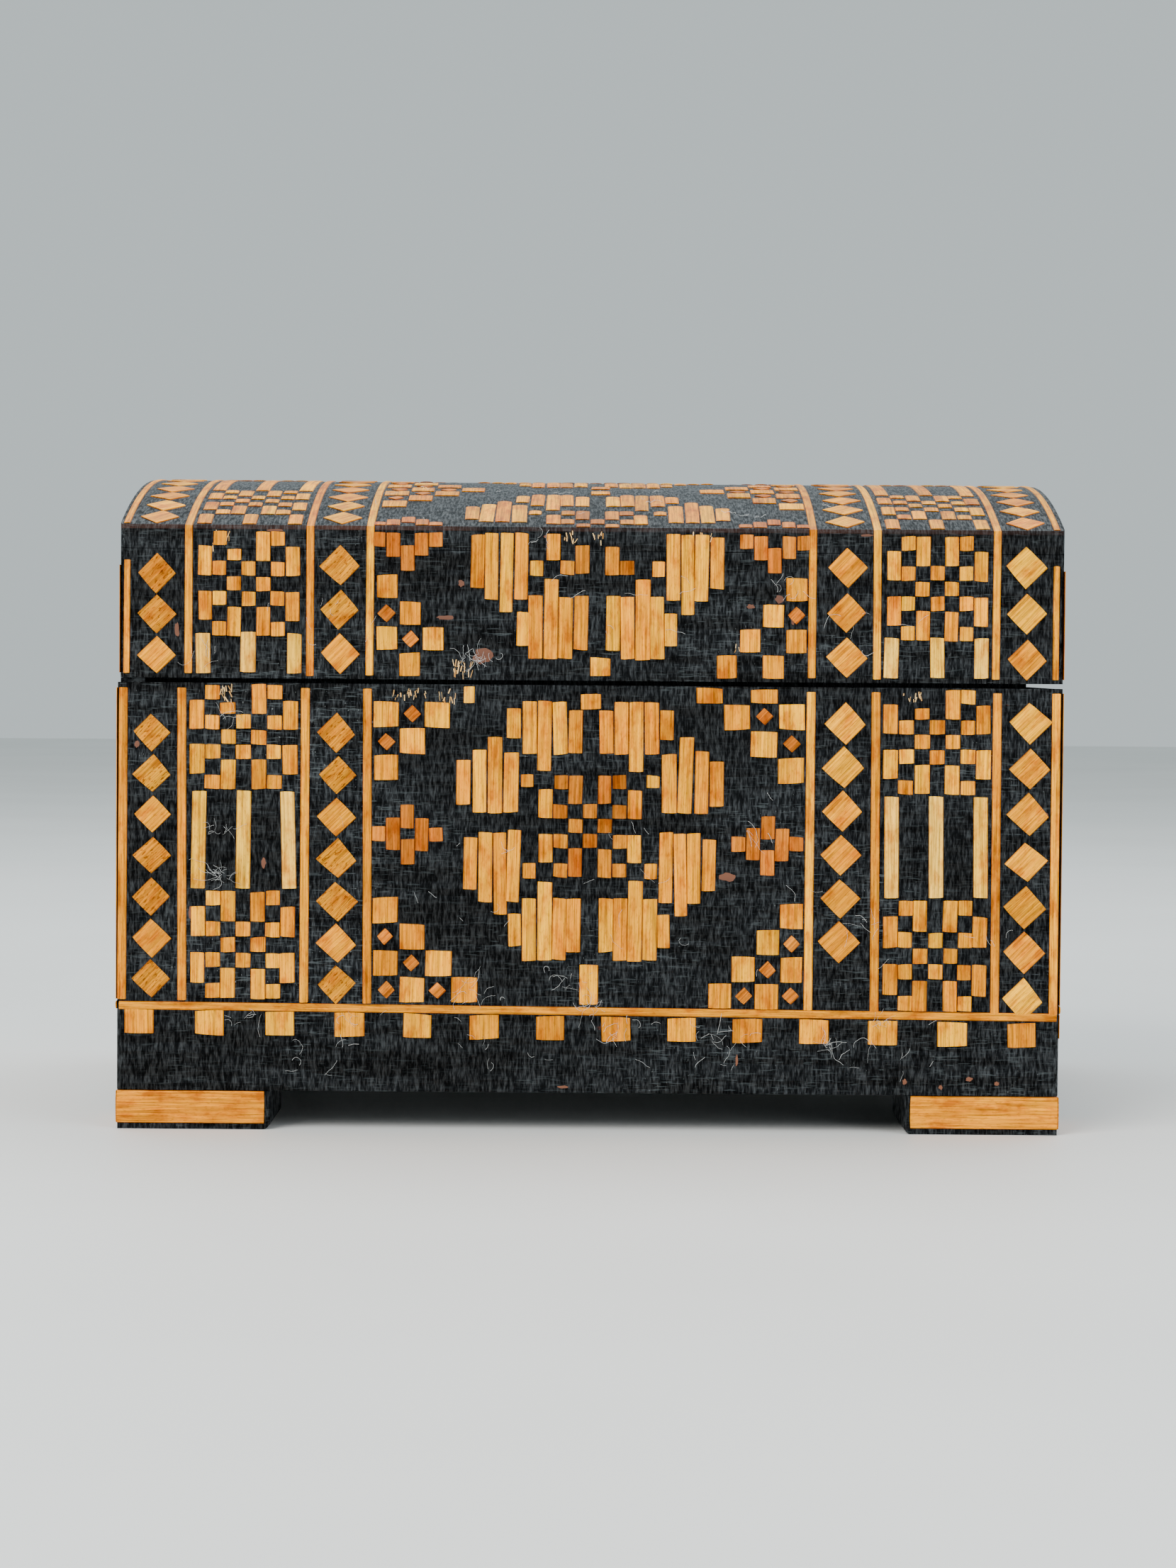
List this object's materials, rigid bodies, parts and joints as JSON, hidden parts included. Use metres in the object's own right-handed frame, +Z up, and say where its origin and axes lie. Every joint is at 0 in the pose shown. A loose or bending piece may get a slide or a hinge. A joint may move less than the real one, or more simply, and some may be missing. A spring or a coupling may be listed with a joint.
{
  "type": "music box",
  "caption": "Wooden casket with an arched hinged lid, straw inlay on black stain, low feet, and a wind-up comb movement with its key at the back.",
  "frame": {"origin": "on the table, at the middle of the whole object's footprint box, winding key included", "axes": "+Z up, the front faces -Y, +X to the right of someone facing the front; the lid hinge runs along X at the back"},
  "size_m": [0.18, 0.136, 0.1265],
  "materials": {
    "black_wood": "satin",
    "raw_wood": "matte",
    "straw": "satin",
    "velvet": "matte",
    "clear_plate": "gloss",
    "brass": "satin",
    "steel": "satin",
    "dark_steel": "satin"
  },
  "bodies": {
    "case": {"front_wall": "black_wood", "back_wall": "black_wood", "left_wall": "black_wood", "right_wall": "black_wood", "bottom_board": "black_wood", "foot_front_left": "black_wood", "foot_front_right": "black_wood", "foot_back_left": "black_wood", "foot_back_right": "black_wood", "partition": "raw_wood", "jewel_lining": "velvet", "cover_cleat_left": "raw_wood", "cover_cleat_right": "raw_wood", "movement_cover": "clear_plate", "hinge_leaf_case_left": "brass", "hinge_leaf_case_right": "brass", "hinge_pin_left": "steel", "hinge_pin_right": "steel", "hinge_screw_case_left_1": "brass", "hinge_screw_case_left_2": "brass", "hinge_screw_case_right_1": "brass", "hinge_screw_case_right_2": "brass", "bedplate": "brass", "movement_screw_1": "steel", "movement_screw_2": "steel", "movement_screw_3": "steel", "key_escutcheon": "brass", "cylinder_frame": "brass", "governor_bracket": "brass", "comb": "steel", "comb_base": "brass", "comb_screw_1": "steel", "comb_screw_2": "steel"},
    "lid": {"lid_top": "black_wood", "lid_front_rail": "black_wood", "lid_back_rail": "black_wood", "lid_left_end": "black_wood", "lid_right_end": "black_wood", "lid_lining": "velvet", "lid_stop_block": "raw_wood", "hinge_leaf_lid_left": "brass", "hinge_leaf_lid_right": "brass", "hinge_screw_lid_left_1": "brass", "hinge_screw_lid_left_2": "brass", "hinge_screw_lid_right_1": "brass", "hinge_screw_lid_right_2": "brass"},
    "winder": {"winding_arbor": "steel", "winding_key": "brass"},
    "click": {"click": "steel"},
    "barrel": {"spring_barrel": "brass", "mainspring": "dark_steel", "crown_wheel": "brass"},
    "cylinder": {"cylinder": "brass", "cylinder_arbor": "steel", "cylinder_gear": "brass"},
    "governor": {"governor_arbor": "steel", "worm_wheel": "brass"},
    "fan": {"worm_spindle": "steel", "fan": "dark_steel"},
    "stop_rod": {"stop_rod": "steel"}
  },
  "joints": [
    {"name": "lid_hinge", "type": "hinge", "parent": "case", "child": "lid", "pos_m": [0, 0.0539, 0.08575], "axis": [-1, 0, 0], "range_deg": [0, 100]},
    {"name": "key_wind", "type": "hinge", "parent": "case", "child": "winder", "pos_m": [0.0335, 0.05, 0.0454], "axis": [0, 1, 0], "continuous": true},
    {"name": "click_lift", "type": "hinge", "parent": "case", "child": "click", "pos_m": [0.02335, 0.0428, 0.05234], "axis": [0, 1, 0], "range_deg": [0, 10], "stiffness_Nm_per_rad": 0.002},
    {"name": "cylinder_spin", "type": "hinge", "parent": "case", "child": "cylinder", "pos_m": [0.055, 0.02988, 0.0454], "axis": [1, 0, 0], "continuous": true},
    {"name": "barrel_spin", "type": "hinge", "parent": "case", "child": "barrel", "pos_m": [0.0335, 0.04, 0.0454], "axis": [0, 1, 0], "continuous": true},
    {"name": "governor_spin", "type": "hinge", "parent": "case", "child": "governor", "pos_m": [0.073, 0.02988, 0.0538], "axis": [1, 0, 0], "continuous": true},
    {"name": "fan_spin", "type": "hinge", "parent": "case", "child": "fan", "pos_m": [0.0735, 0.03, 0.05905], "axis": [0, 1, 0], "continuous": true},
    {"name": "stop_slide", "type": "slide", "parent": "case", "child": "stop_rod", "axis": [0, 0, 1], "range_m": [0, 0.004]}
  ],
  "couplings": [
    {"joint": "barrel_spin", "follows": "cylinder_spin", "ratio": -0.33333},
    {"joint": "governor_spin", "follows": "cylinder_spin", "ratio": -4.25},
    {"joint": "fan_spin", "follows": "cylinder_spin", "ratio": -42.5},
    {"joint": "stop_slide", "follows": "lid_hinge", "m_per_rad": 0.00229}
  ]
}
